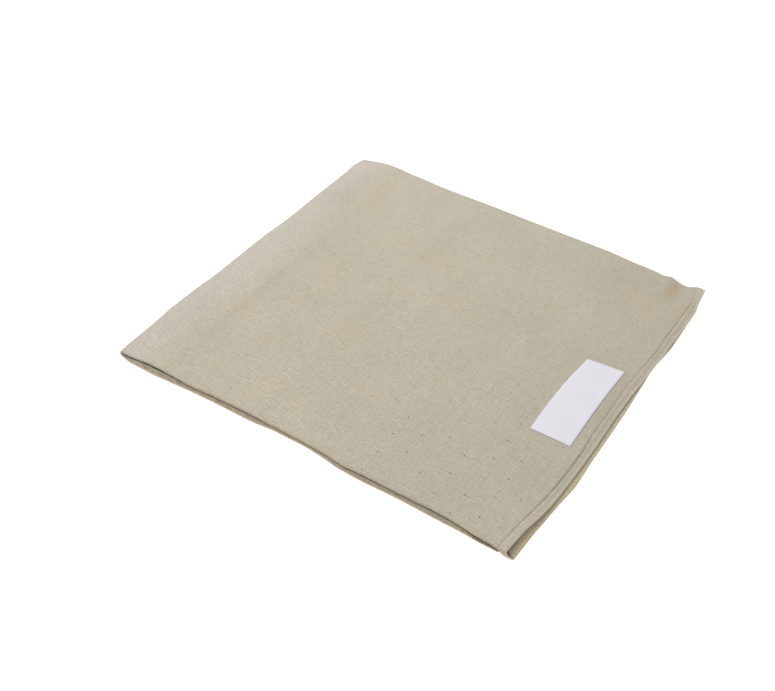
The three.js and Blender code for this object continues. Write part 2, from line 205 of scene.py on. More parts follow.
def follow(rows: tuple, key: str, column: str, at: Array) -> Array:
    """Read one column of a table on a smooth line that never swings past its rows.

    Args:
        rows: The table.
        key: The column that the places are measured on.
        column: The column to read.
        at: The places.

    Returns:
        The column's value at each place.
    """
    places = np.array([getattr(row, key) for row in rows], float)
    values = np.array([getattr(row, column) for row in rows], float)
    slopes = np.diff(values) / np.diff(places)
    before, after = slopes[:-1], slopes[1:]
    total = np.where(np.abs(before + after) < 1e-12, 1.0, before + after)
    inner = np.where(before * after <= 0, 0.0, 2 * before * after / total)
    tangents = np.concatenate([slopes[:1], inner, slopes[-1:]])
    at = np.clip(at, places[0], places[-1])
    i = np.clip(np.searchsorted(places, at) - 1, 0, len(places) - 2)
    span = places[i + 1] - places[i]
    t = (at - places[i]) / span
    ease = t * t * (3 - 2 * t)
    leave = span * t * (1 - t) ** 2 * tangents[i]
    arrive = span * t * t * (1 - t) * tangents[i + 1]
    return values[i] + (values[i + 1] - values[i]) * ease + leave - arrive


def smoothstep(at: Array, low: float, high: float) -> Array:
    """Return a soft step from 0 at low to 1 at high."""
    t = np.clip((at - low) / (high - low), 0, 1)
    return t * t * (3 - 2 * t)


def bell(distance: Array, reach: float) -> Array:
    """Return a soft bump that is 1 at no distance and fades over its reach."""
    return np.exp(-((distance / reach) ** 2))


def grain(x: Array, y: Array, across: float, along: float, seed: float) -> Array:
    """Sample smooth unevenness.

    Args:
        x: Places along X, in millimetres.
        y: Places along Y, in millimetres.
        across: Size of its features along X.
        along: Size of its features along Y.
        seed: A number that tells this unevenness from others.

    Returns:
        Values between about -1 and 1.
    """
    x, y = np.broadcast_arrays(x, y)
    flat = [noise.noise(Vector((a / across, b / along, seed))) for a, b in zip(x.ravel(), y.ravel())]
    return np.array(flat).reshape(x.shape)


@dataclass(frozen=True)
class Station:
    """A place along the length of the cloth.

    A place on a fold names the thirds that it turns between, and turn runs from 0 to 1 round the fold. Any
    other place gives its x, its distance from its hem, or its share of the way from there to shared places.
    """

    third: Third
    following: Third
    turn: float = 0.0
    x: float | None = None
    from_hem: float | None = None
    to_shared: float | None = None

    @property
    def bends(self) -> bool:
        """Tell whether the place lies on a fold between two thirds."""
        return self.third is not self.following


@dataclass(frozen=True)
class FoldMap:
    """Where each point of the folded cloth lies, in the tables' millimetres."""

    cloth: float = 1.0
    pitch: float = 1.3
    gaps_in_stack: int = 5
    hem_width: float = 10.2
    hem_thickness: float = 1.9
    front_line: float = -245
    back_line: float = 249
    right_fold_x: float = 226
    right_fold_front_x: float = 236
    right_fold_flare: Span = (-243, -215)
    past_right_fold: float = 16
    past_hem: Span = (12, 26)
    middle_hem_x: float = -213
    middle_hem_sway: float = 3
    middle_hem_sway_from: float = -60
    middle_hem_sway_length: float = 95
    inner_hem_lag: float = 4
    front_fullness: Triple = (0.92, 0.95, 1.0)
    left_fullness: float = 1.15
    right_fullness: float = 1.0
    middle_setback: Span = (15, 2)
    middle_setback_span: Span = (206, 228)
    bulge_insets: Span = (3, 13)
    bulge_starts: Span = (-256, -232)
    bulge_ends: Span = (192, 216)
    bulge_under: float = 1.12
    sag_front: float = 0.5
    sag_drop: float = 3.5
    sag_back: float = 1.2
    sag_from: float = 10
    sag_to: float = 2
    sag_back_span: Span = (200, 240)
    ripple_x: float = 212
    ripple_width: float = 6.5
    ripple_span: Span = (190, 240)
    ripple_rise: float = 1.5
    sag_free_at: float = -230
    sag_full_at: float = -146
    ridge_fade: float = 28
    roll_rise: float = 0.28
    roll_reach: float = 14
    mouth_x: float = -196
    mouth_width: float = 42
    mouth_reach: float = 55
    mouth_rise: float = 1.1
    inner_setback: float = 1.6
    selvedge_setbacks: Triple = (0.0, 1.4, 3.2)
    settling_passes: int = 3
    shared_right: float = 212
    shared_left: float = -170
    last_hem_step: float = 23
    edge_wavers: tuple[Triple, ...] = ((0.35, 11, 0), (0.175, 5, 4))
    selvedge_waver: Triple = (0.2, 9, 20)
    edge_seeds: Span = (40, 9)
    corner_drop: float = 0.8
    corner_across: Span = (240, 247)
    corner_along: Span = (-243, -222)
    swells: tuple[Swell, ...] = table(Swell, (0.34, 62, 95, 3.1), (0.16, 24, 34, 7.7), (0.055, 8.5, 13, 11.3))
    puckers: tuple[Swell, ...] = table(Swell, (1.0, 20, 7.5, 17.9), (0.5, 20, 3.8, 5.2))
    pucker_rise: float = 0.6
    pucker_least: float = -0.5
    pucker_beside: Triple = (0.26, 5, 4.5)
    groove: Span = (-0.3, 1.1)
    seam_fades: Span = (203, 218)

    def soft_ridges(self, x: Array, y: Array) -> Array:
        """Return the height that the soft ridges add to the top layer."""
        rise = np.zeros(np.broadcast(x, y).shape)
        for ridge in SOFT_RIDGES:
            starts = smoothstep(y, ridge.start - self.ridge_fade, ridge.start + self.ridge_fade)
            ends = smoothstep(y, ridge.end - self.ridge_fade, ridge.end + self.ridge_fade)
            rise = rise + ridge.rise * bell(x - ridge.x - ridge.lean * y, ridge.width) * starts * (1 - ends)
        return rise

    def middle_hem(self, y: Array, outward: Array) -> Array:
        """Return the free edge of the middle third."""
        sway = self.middle_hem_sway * np.sin((y - self.middle_hem_sway_from) / self.middle_hem_sway_length)
        return self.middle_hem_x + sway - self.inner_hem_lag * (1 - outward) / 2

    def right_hem(self, y: Array, outward: Array) -> Array:
        """Return the free edge of the top third, whose outer layer has outward 1 and inner one -1."""
        upper = follow(RIGHT_HEMS, "y", "upper", y)
        lower = follow(RIGHT_HEMS, "y", "lower", y)
        return lower + (upper - lower) * (1 + outward) / 2

    def from_edge(self, station: Station, y: Array) -> Array:
        """Return how far a station of a hem lies from the free edge, whose turned cloth varies in width."""
        turned = follow(RIGHT_HEMS, "y", "turned", y) if station.third is Third.TOP else self.hem_width
        beyond = max(0.0, station.from_hem - self.hem_width) / (self.last_hem_step - self.hem_width)
        within = min(1.0, station.from_hem / self.hem_width)
        return turned * within + (self.last_hem_step - turned) * beyond

    def front_reach(self, x: Array) -> dict[Third, Array]:
        """Return the foremost reach of each third's front fold."""
        low = follow(FRONT_FOLDS, "x", "low", x)
        most, least = self.middle_setback
        middle = low + most + (least - most) * smoothstep(x, *self.middle_setback_span)
        return {Third.TOP: follow(FRONT_FOLDS, "x", "top", x), Third.LOW: low, Third.MIDDLE: middle}

    def low_bulge(self, x: Array, y: Array) -> Array:
        """Return how much of its room the low third's inner layer fills at the front fold."""
        inset = y - self.front_reach(x)[Third.LOW]
        along = smoothstep(x, *self.bulge_starts) * (1 - smoothstep(x, *self.bulge_ends))
        return along * (1 - smoothstep(inset, *self.bulge_insets))

    def heights(self, x: Array, y: Array) -> dict[str, Array]:
        """Find the middles of the six layers above the floor.

        Args:
            x: Places along the front fold.
            y: Places away from it.

        Returns:
            The heights, by the layer's name.
        """
        inset = y - self.front_line
        roll = self.roll_rise * bell(inset, self.roll_reach)
        share = self.soft_ridges(x, y) / self.gaps_in_stack
        hem = 1 - smoothstep(x - self.middle_hem(y, np.ones_like(y)), *self.past_hem)
        fold_x = self.right_fold(y)
        stacked = 1 - smoothstep(x - fold_x, 0, self.past_right_fold)
        across = np.where(x > 0, x - (fold_x - self.right_fold_x) / 2, x)
        lifted = self.mouth_rise * bell(x - self.mouth_x, self.mouth_width) * bell(inset, self.mouth_reach)
        ripple = self.ripple_rise * bell(x - self.ripple_x, self.ripple_width)
        lifted = lifted + ripple * smoothstep(y, *self.ripple_span)
        extra = self.hem_thickness - self.cloth
        pair = self.pitch + roll + share
        low_outer = np.full_like(pair, self.cloth / 2)
        low_rest = low_outer + pair
        middle_inner = low_rest + self.pitch + share + hem * extra / 2
        middle_outer = middle_inner + pair + hem * extra
        top_inner = follow(TOP_THIRD, "x", "inner", across) + stacked * (2 * roll + 4 * share + lifted)
        to_hem = self.right_hem(y, np.ones_like(y)) - x
        held = smoothstep(y, self.sag_free_at, self.sag_full_at)
        sag = self.sag_front + (self.sag_drop - self.sag_front) * held
        sag = sag + (self.sag_back - sag) * smoothstep(y, *self.sag_back_span)
        sag = sag * (1 - smoothstep(to_hem, self.sag_to, self.sag_from))
        corner = smoothstep(x, *self.corner_across) * (1 - smoothstep(y, *self.corner_along))
        top_inner = top_inner - self.corner_drop * corner
        low_inner = low_rest + (top_inner - self.bulge_under - low_rest) * self.low_bulge(x, y)
        raised = (1 + 2 * stacked) * roll + self.gaps_in_stack * share + lifted
        top_outer = follow(TOP_THIRD, "x", "outer", across) + raised - sag
        return {
            "low_outer": low_outer,
            "low_inner": low_inner,
            "middle_inner": middle_inner,
            "middle_outer": middle_outer,
            "top_inner": top_inner,
            "top_outer": top_outer,
        }

    def relief(self, x: Array, y: Array) -> Array:
        """Find the fine unevenness of the top layer: soft swells, small wrinkles and the puckers of its hem.

        Args:
            x: Places along the front fold.
            y: Places away from it.

        Returns:
            The heights to add, none of them below the layer's own by more than the hem's groove.
        """
        swells = sum(swell.rise * (1 + grain(x, y, *swell[1:])) for swell in self.swells)
        from_hem = self.right_hem(y, np.ones_like(y)) - x
        turned = follow(RIGHT_HEMS, "y", "turned", y)
        band = np.clip(from_hem / turned, 0, 1)
        puckers = sum(pucker.rise * grain(from_hem * 0, y, *pucker[1:]) for pucker in self.puckers)
        on_band = self.pucker_rise * np.maximum(puckers, self.pucker_least) * np.sin(np.pi * band)
        rise, away, reach = self.pucker_beside
        beside = rise * puckers * bell(from_hem - turned - away, reach)
        depth, width = self.groove
        groove = depth * bell(from_hem - turned, width) * (1 - smoothstep(y, *self.seam_fades))
        return swells + np.where(from_hem < turned, on_band, beside) + groove

    def top_surface(self, x: Array, y: Array) -> Array:
        """Return the middle of the top layer, with its unevenness."""
        return self.heights(x, y)["top_outer"] + self.relief(x, y)

    def levels(self, x: Array, y: Array, outward: Array) -> tuple[dict, dict]:
        """Find each third's height and half of its spread.

        Args:
            x: Places along the front fold.
            y: Places away from it.
            outward: 1 on the outer layer, -1 on the inner one, and between them round the front fold.

        Returns:
            The heights and the half spreads, by third.
        """
        at = self.heights(x, y)
        pairs = {
            Third.TOP: (at["top_inner"], at["top_outer"]),
            Third.MIDDLE: (at["middle_inner"], at["middle_outer"]),
            Third.LOW: (at["low_inner"], at["low_outer"]),
        }
        height = {k: (a + b) / 2 + outward * (b - a) / 2 for k, (a, b) in pairs.items()}
        half = {k: np.abs(b - a) / 2 for k, (a, b) in pairs.items()}
        return height, half

    def left_fold(self, y: Array) -> Array:
        """Return the middle of the left fold's turn, set back from its outermost reach by its own depth."""
        reach = follow(LEFT_FOLD, "y", "x", y)
        at = self.heights(reach, y)
        return reach + self.left_fullness * (at["top_outer"] - at["low_outer"]) / 2 + self.cloth / 2

    def right_fold(self, y: Array) -> Array:
        """Return the middle of the right fold's turn, which lies further out at the front."""
        flare = 1 - smoothstep(y, *self.right_fold_flare)
        return self.right_fold_x + (self.right_fold_front_x - self.right_fold_x) * flare

    def station_x(self, station: Station, y: Array, outward: Array) -> Array:
        """Return the x of one station at each row."""
        if station.bends:
            return self.left_fold(y) if station.third is Third.TOP else self.right_fold(y)
        if station.x is not None:
            return np.full_like(y, station.x)
        top = station.third is Third.TOP
        edge = self.right_hem(y, outward) if top else self.middle_hem(y, outward)
        inward = -1 if top else 1
        if station.from_hem is not None:
            return edge + inward * self.from_edge(station, y)
        start = edge + inward * self.last_hem_step
        return start + ((self.shared_right if top else self.shared_left) - start) * station.to_shared

    def place(self, station: Station, rows: "CrosswiseRows") -> Array:
        """Find the middle of the cloth at one station, on every row across its width.

        Args:
            station: The place along the length.
            rows: The rows across the width.

        Returns:
            One point for each row.
        """
        def blend(values: dict) -> Array:
            """Mix the values of the two thirds that the station lies between."""
            return values[station.third] + (values[station.following] - values[station.third]) * station.turn

        def waver(x: Array, rise: float, length: float, shift: float) -> Array:
            """Return how an edge wavers along X."""
            return rise * grain(x, x * 0, length, 1, seed + shift)

        front_line = np.full_like(rows.share, self.front_line)
        fullness = blend(dict(zip(Third, self.front_fullness)))
        setback = blend(dict(zip(Third, self.selvedge_setbacks)))
        setback = setback + self.inner_setback * (1 - rows.outward) / 2
        seed = self.edge_seeds[0] + self.edge_seeds[1] * blend(dict(zip(Third, (0.0, 1.0, 2.0))))
        y = self.front_line + (self.back_line - self.front_line) * rows.share
        for _ in range(self.settling_passes):
            x = self.station_x(station, y, rows.outward)
            front = blend(self.front_reach(x)) + sum(waver(x, *row) for row in self.edge_wavers)
            depth = fullness * blend(self.levels(x, front_line, rows.outward * 0)[1])
            fold_y = front + self.cloth / 2 + depth
            back = follow(BACK_SELVEDGE, "x", "y", x) - setback + waver(x, *self.selvedge_waver)
            y = fold_y + rows.inset + (back - fold_y - rows.inset) * rows.share - rows.forward * depth
        height, _ = self.levels(x, y, rows.outward)
        start, end = height[station.third], height[station.following]
        turn = np.pi * station.turn
        half = (start - end) / 2
        left = station.third is Third.TOP
        reach = np.abs(half) * (self.left_fullness if left else self.right_fullness)
        fold_x = x + (-1 if left else 1) * reach * np.sin(turn) * station.bends
        z = (start + end) / 2 + half * np.cos(turn) if station.bends else start
        if left:
            shown = np.clip(rows.outward, 0, 1) ** 2 * max(0.0, np.cos(turn)) ** 2
            z = z + shown * self.relief(x, y)
        return np.stack([fold_x, y, z], axis=-1)


@dataclass(frozen=True)
class CrosswiseRows:
    """Rows across the width, from the outer layer's selvedge round the front fold to the inner layer's."""

    share: Array
    inset: Array
    outward: Array
    forward: Array
    edge: Array
    near_edge: ClassVar[Row] = (0.0, 0.0011, 0.0032)
    edge_thickness: ClassVar[Row] = (0.45, 0.85)

    @classmethod
    def build(cls, outer: int, inner: int, bend: int, insets: Row) -> "CrosswiseRows":
        """Lay out the rows.

        Args:
            outer: Number of spans on the outer layer behind the front fold's insets.
            inner: The same on the inner layer.
            bend: Number of spans round the front fold.
            insets: Distances of the rows nearest the fold, from the fold inwards.

        Returns:
            The rows.
        """
        def layer(spans: int, outward: float) -> list[Row]:
            """List the rows of one layer, from its selvedge to the front fold."""
            shares = [1 - e for e in cls.near_edge] + [1 - i / spans for i in range(1, spans)]
            flat = [(s, insets[-1], outward, 0.0) for s in shares]
            return flat + [(0.0, inset, outward, 0.0) for inset in reversed(insets)]

        turns = [(0.0, 0.0, np.cos(t), np.sin(t)) for t in (np.pi * i / bend for i in range(1, bend))]
        rows = layer(outer, 1.0) + turns + layer(inner, -1.0)[::-1]
        share, inset, outward, forward = np.array(rows).T
        edge = np.ones_like(share)
        for thickness, place in zip(cls.edge_thickness, cls.near_edge):
            edge[share == 1 - place] = thickness
        return cls(share, inset, outward, forward, edge)


class Mottle(NamedTuple):
    """Smooth noise, by the size of its features along and across the cloth, its ramp and its detail."""

    along: float
    across: float
    low: float = 0.0
    high: float = 1.0
    start: float = 0.0
    end: float = 1.0
    detail: float = 0.0


@dataclass
class Graph:
    """Short ways to add and link the nodes of one material."""

    name: str
    metre: float = 1000.0
    full_turn: float = 6.2832

    def __post_init__(self) -> None:
        """Start from an empty tree."""
        self.material = bpy.data.materials.new(self.name)
        self.material.use_nodes = True
        self.tree = self.material.node_tree
        self.tree.nodes.clear()

    def node(self, kind: str, **settings: object) -> bpy.types.Node:
        """Add a node and set its properties."""
        made = self.tree.nodes.new(kind)
        for name, value in settings.items():
            setattr(made, name, value)
        return made

    def feed(self, socket: Socket, value: object) -> None:
        """Link a socket to another, or set its value."""
        if isinstance(value, Socket):
            self.tree.links.new(value, socket)
        else:
            socket.default_value = value

    def math(self, operation: str, *values: object, clamp: bool = False) -> Socket:
        """Add a Math node.

        Args:
            operation: The node's operation.
            values: Its inputs, numbers or sockets.
            clamp: Whether its result stays between 0 and 1.

        Returns:
            The result's socket.
        """
        made = self.node("ShaderNodeMath", operation=operation, use_clamp=clamp)
        for socket, value in zip(made.inputs, values):
            self.feed(socket, value)
        return made.outputs[0]

    def times(self, first: object, second: object) -> Socket:
        """Multiply two values."""
        return self.math("MULTIPLY", first, second)

    def over(self, first: object, second: object) -> Socket:
        """Divide a value by another."""
        return self.math("DIVIDE", first, second)

    def grown(self, value: object, amount: object, start: object = 1.0) -> Socket:
        """Return a start with an amount of a value added."""
        return self.math("MULTIPLY_ADD", value, amount, start)

    def wave(self, value: object, apart: float = 1.0) -> Socket:
        """Return a sine that comes round again whenever the value grows by a distance."""
        return self.math("SINE", self.times(value, self.full_turn / apart))

    def mask(self, name: str) -> Socket:
        """Read one of the mesh's attributes."""
        return self.node("ShaderNodeAttribute", attribute_name=name).outputs["Fac"]

    def separate(self, vector: Socket) -> bpy.types.NodeOutputs:
        """Split a vector."""
        made = self.node("ShaderNodeSeparateXYZ")
        self.feed(made.inputs[0], vector)
        return made.outputs

    def read_map(self) -> tuple:
        """Read the sheet's own map, in millimetres along and across it."""
        place = self.separate(self.node("ShaderNodeUVMap", uv_map=MAP_NAME).outputs[0])
        self.along, self.across = (self.times(place[k], self.metre) for k in (0, 1))
        return self.along, self.across

    def ramp(self, value: object, low: float, high: float, start: float = 0.0, end: float = 1.0) -> object:
        """Map a value softly from one range to another.

        Args:
            value: The value.
            low: Where it starts.
            high: Where it ends.
            start: The result at the start.
            end: The result at the end.

        Returns:
            The result's socket.
        """
        made = self.node("ShaderNodeMapRange", interpolation_type="SMOOTHSTEP")
        for socket, given in zip(made.inputs, (value, low, high, start, end)):
            self.feed(socket, given)
        return made.outputs[0]

    def near(self, value: object, middle: float, outer: float, inner: float) -> Socket:
        """Return 1 within an inner distance of a middle, fading to 0 at an outer one."""
        return self.ramp(self.math("ABSOLUTE", self.math("SUBTRACT", value, middle)), outer, inner)

    def noise(self, mottle: Mottle) -> Socket:
        """Add noise on the sheet's own map."""
        place = self.node("ShaderNodeCombineXYZ")
        self.feed(place.inputs[0], self.over(self.along, mottle.along))
        self.feed(place.inputs[1], self.over(self.across, mottle.across))
        made = self.node("ShaderNodeTexNoise", noise_dimensions="2D")
        for name, value in (("Vector", place.outputs[0]), ("Scale", 1.0), ("Detail", mottle.detail)):
            self.feed(made.inputs[name], value)
        return made.outputs[0]

    def mottled(self, mottle: Mottle, noise: Socket | None = None) -> Socket:
        """Map noise to its range, its own or one that is already there."""
        return self.ramp(self.noise(mottle) if noise is None else noise, *mottle[2:6])

    def mix(self, amount: object, first: object, second: object) -> Socket:
        """Mix two colours."""
        made = self.node("ShaderNodeMix", data_type="RGBA")
        for socket, value in ((0, amount), (6, first), (7, second)):
            self.feed(made.inputs[socket], value)
        return made.outputs[2]

    def shade(self, colour: object, brightness: object) -> Socket:
        """Multiply a colour by a brightness."""
        made = self.node("ShaderNodeVectorMath", operation="SCALE")
        self.feed(made.inputs[0], colour)
        self.feed(made.inputs["Scale"], brightness)
        return made.outputs[0]

    def finish(self, colour: object, height: object, distance: float, surface: tuple) -> Material:
        """Add the shader.

        Args:
            colour: The base colour.
            height: The bump's height.
            distance: What a height of 1 measures, in metres.
            surface: Names and values of the shader's own sockets.

        Returns:
            The material.
        """
        bump = self.node("ShaderNodeBump")
        shader = self.node("ShaderNodeBsdfPrincipled")
        for name, value in (("Distance", distance), ("Strength", 1.0), ("Height", height)):
            self.feed(bump.inputs[name], value)
        for name, value in (("Normal", bump.outputs[0]), ("Base Color", colour), *surface):
            self.feed(shader.inputs[name], value)
        self.feed(self.node("ShaderNodeOutputMaterial").inputs[0], shader.outputs[0])
        return self.material


@dataclass(frozen=True)
class WovenCloth:
    """Unbleached double cloth: fine threads, slubs, tie points of its two faces, ribs at the folds; its masks
    also paint shade in the seam groove, in the hollow at the hem's front end and on the front folds, and
    light on the hem bands.
    """

    name: str = "woven_double_cloth"
    light: Row = (0.400, 0.362, 0.280, 1.0)
    warm: Row = (0.414, 0.345, 0.237, 1.0)
    cool: Row = (0.385, 0.362, 0.294, 1.0)
    pale: Row = (0.410, 0.372, 0.325, 1.0)
    cloud: Mottle = Mottle(64.0, 78.0, 0.25, 0.75, 0.968, 1.008, 2.0)
    tint: Mottle = Mottle(47.0, 58.0, 0.3, 0.7, 0.0, 0.55, 1.0)
    fine: Mottle = Mottle(1.0, 1.0, 0.2, 0.8, 0.95, 1.05)
    mottle: Mottle = Mottle(9.0, 11.0, 0.25, 0.75, 0.988, 1.012)
    slubs: Mottle = Mottle(6.5, 0.9, 0.71, 0.83)
    weft: tuple[float, Mottle, Mottle] = (3.4, Mottle(16.0, 6.0), Mottle(9.0, 3.5, 0.3, 0.7, 0.1, 1.0))
    warp: tuple[float, Mottle, Mottle] = (2.9, Mottle(6.0, 16.0), Mottle(3.5, 9.0, 0.3, 0.7, 0.1, 1.0))
    thread_sway: float = 1.5
    rib: tuple[float, Mottle, float] = (2.3, Mottle(7.0, 9.0), 2.0)
    thread: float = 0.95
    thread_rise: float = 0.03
    tie_spacings: Span = (53.0, 30.0)
    tie_phases: Span = (2.5, 19.7)
    tie_radii: Span = (1.35, 0.36)
    tie_tail: Triple = (-4.0, 4.5, 2.5)
    tie_tail_side: Triple = (0.6, 0.8, 0.25)
    tie_wavers: tuple[Mottle, ...] = table(
        Mottle, (33.0, 41.0, 0.2, 0.8, -0.7, 0.7), (39.0, 35.0, 0.2, 0.8, -0.7, 0.7)
    )
    tie_keenness: Mottle = Mottle(17.0, 19.0, 0.28, 0.52, 0.25, 1.0)
    masks: tuple[str, ...] = ("crisp", "painted_seam_shade", "band", "painted_hollow_shade", "dark", "warm", "pale")
    crisp_threads: Amounts = (("weft", 0.11), ("warp", 0.12))
    # The seam and hollow tones are painted shade. The band tone is a painted highlight on the hem band and
    # painted light on the lower hem. The dark tone darkens patches and paints shade on the front folds.
    tones: Amounts = (
        ("slubs", -0.2), ("dots", -0.55), ("tails", -0.12), ("ribs", 0.07),
        ("painted_seam_shade", -0.5), ("band", 0.15), ("painted_hollow_shade", -0.7), ("dark", -0.2),
    )
    reliefs: Amounts = (
        ("fine", 0.05), ("weft", 0.04), ("warp", 0.04), ("mottle", 0.1),
        ("ribs", 0.35), ("dots", -1.2), ("tails", -0.3),
    )
    relief_height: float = 0.0004
    surface: Amounts = (("Roughness", 0.92), ("Specular IOR Level", 0.2), ("Sheen Weight", 0.12))

    def ties(self, graph: Graph, u: object, v: object, steps: float) -> tuple:
        """Find the tie points of one set of columns, and the short loose threads beside them.

        Args:
            graph: The material's graph.
            u: Distance along the cloth, in millimetres.
            v: Distance across it.
            steps: How many half spacings the set lies from the first one.

        Returns:
            How much of a tie point and how much of a loose thread is there.
        """
        offs = []
        for place, phase, spacing in zip((u, v), self.tie_phases, self.tie_spacings):
            cell = graph.over(graph.math("SUBTRACT", place, phase + steps * spacing / 2), spacing)
            offs.append(graph.times(graph.math("SUBTRACT", graph.math("FRACT", cell), 0.5), spacing))
        square = graph.math("ADD", *(graph.math("POWER", off, 2.0) for off in offs))
        dot = graph.ramp(graph.math("SQRT", square), *self.tie_radii)
        return dot, graph.times(graph.near(offs[0], *self.tie_tail), graph.near(offs[1], *self.tie_tail_side))

    def lines(self, graph: Graph, place: object, apart: float, wander: Mottle, sway: float) -> Socket:
        """Draw lines that run a little unevenly.

        Args:
            graph: The material's graph.
            place: The distance that they are spaced on.
            apart: Their spacing.
            wander: The noise that they sway with.
            sway: How many spacings they sway by.

        Returns:
            A wave between -1 and 1.
        """
        return graph.wave(graph.math("ADD", graph.over(place, apart), graph.times(graph.noise(wander), sway)))

    def parts(self, graph: Graph) -> dict[str, Socket]:
        """Find everything that colours or raises the cloth, by name."""
        u, v = graph.read_map()
        found = {name: graph.mask(name) for name in self.masks}
        found["fine"], found["mottle"] = graph.noise(self.fine), graph.noise(self.mottle)
        for name, place, (apart, wander, strength) in (("weft", v, self.weft), ("warp", u, self.warp)):
            lines = self.lines(graph, place, apart, wander, self.thread_sway)
            found[name] = graph.times(lines, graph.mottled(strength))
        found["slubs"] = graph.mottled(self.slubs)
        found["ribs"] = graph.times(self.lines(graph, u, *self.rib), graph.mask("front_roll"))
        u, v = (graph.math("ADD", at, graph.mottled(waver)) for at, waver in zip((u, v), self.tie_wavers))
        shown = graph.times(graph.mottled(self.tie_keenness), graph.mask("ties"))
        sets = (self.ties(graph, u, v, steps) for steps in (0, 1))
        for name, pair in zip(("dots", "tails"), zip(*sets)):
            found[name] = graph.times(graph.math("ADD", *pair, clamp=True), shown)
        return found

    def build(self) -> Material:
        """Build the material on the cloth's own map.

        Returns:
            The material.
        """
        graph = Graph(self.name)
        part = self.parts(graph)
        brightness = graph.mottled(self.cloud)
        factors = [graph.mottled(self.fine, part["fine"]), graph.mottled(self.mottle, part["mottle"])]
        for name, amount in self.crisp_threads:
            factors.append(graph.grown(part[name], graph.times(part["crisp"], amount)))
        factors += [graph.grown(part[name], amount) for name, amount in self.tones]
        for factor in factors:
            brightness = graph.times(brightness, factor)
        colour = graph.mix(graph.mottled(self.tint), self.light, self.cool)
        # The warm mask mixes in warm patches, warm blotches on the hem band, and a warm tint painted on the
        # lower hem and the front folds for the colour of their shade.
        colour = graph.mix(part["warm"], colour, self.warm)
        colour = graph.mix(part["pale"], colour, self.pale)
        crossing = graph.times(graph.wave(graph.along, self.thread), graph.wave(graph.across, self.thread))
        height = graph.times(crossing, self.thread_rise)
        for name, amount in self.reliefs:
            height = graph.grown(part[name], amount, height)
        return graph.finish(graph.shade(colour, brightness), height, self.relief_height, self.surface)


@dataclass(frozen=True)
class SatinLabelFinish:
    """White satin ribbon with fine lengthwise threads."""

    name: str = "white_satin"
    colour: Row = (0.620, 0.605, 0.650)
    threads: Mottle = Mottle(0.35, 6.0, 0.25, 0.75, 0.985, 1.015, 1.0)
    cloud: Mottle = Mottle(18.0, 30.0, 0.3, 0.7, 0.985, 1.01, 1.0)
    edge_tone: float = -0.06
    relief_height: float = 0.00008
    surface: Amounts = (("Roughness", 0.5), ("Specular IOR Level", 0.35), ("Sheen Weight", 0.1))

    def build(self) -> Material:
        """Build the material on the label's own map.

        Returns:
            The material.
        """
        graph = Graph(self.name)
        graph.read_map()
        threads = graph.noise(self.threads)
        brightness = graph.times(graph.mottled(self.threads, threads), graph.mottled(self.cloud))
        brightness = graph.times(brightness, graph.grown(graph.mask("edge"), self.edge_tone))
        return graph.finish(graph.shade(self.colour, brightness), threads, self.relief_height, self.surface)


@dataclass(frozen=True)
class ThreadFinish:
    """Spun sewing thread."""

    name: str = "hem_thread"
    colour: Row = (0.40, 0.36, 0.27)
    twist: Span = (9000.0, 7000.0)
    strand_tone: float = 0.06
    relief_height: float = 0.00005
    surface: Amounts = (("Roughness", 0.8), ("Specular IOR Level", 0.25))

    def build(self) -> Material:
        """Build the material.

        Returns:
            The material.
        """
        graph = Graph(self.name)
        place = graph.separate(graph.node("ShaderNodeTexCoord").outputs["Object"])
        turns = graph.math("ADD", *(graph.times(place[k], self.twist[k]) for k in (0, 1)))
        strand = graph.math("SINE", turns)
        colour = graph.shade(self.colour, graph.grown(strand, self.strand_tone))
        return graph.finish(colour, strand, self.relief_height, self.surface)


@dataclass(frozen=True)
class FloorFinish:
    """Plain pale floor."""

    name: str = "pale_floor"
    surface: tuple[tuple[str, object], ...] = (
        ("Base Color", (0.93, 0.93, 0.93, 1.0)), ("Roughness", 0.9), ("Emission Color", (1.0, 1.0, 1.0, 1.0)),
        ("Emission Strength", 0.58),
    )

    def build(self) -> Material:
        """Build the material.

        Returns:
            The material.
        """
        material = bpy.data.materials.new(self.name)
        material.use_nodes = True
        for name, value in self.surface:
            material.node_tree.nodes["Principled BSDF"].inputs[name].default_value = value
        return material


def finished_object(name: str, mesh: BMesh, material: Material) -> bpy.types.Object:
    """Turn a finished bmesh into an object of the scene.

    Args:
        name: The piece's name.
        mesh: Its mesh, which is freed.
        material: Its material.

    Returns:
        The object.
    """
    data = bpy.data.meshes.new(name)
    for face in mesh.faces:
        face.smooth = True
    mesh.to_mesh(data)
    mesh.free()
    data.materials.append(material)
    made = bpy.data.objects.new(name, data)
    bpy.context.scene.collection.objects.link(made)
    return made


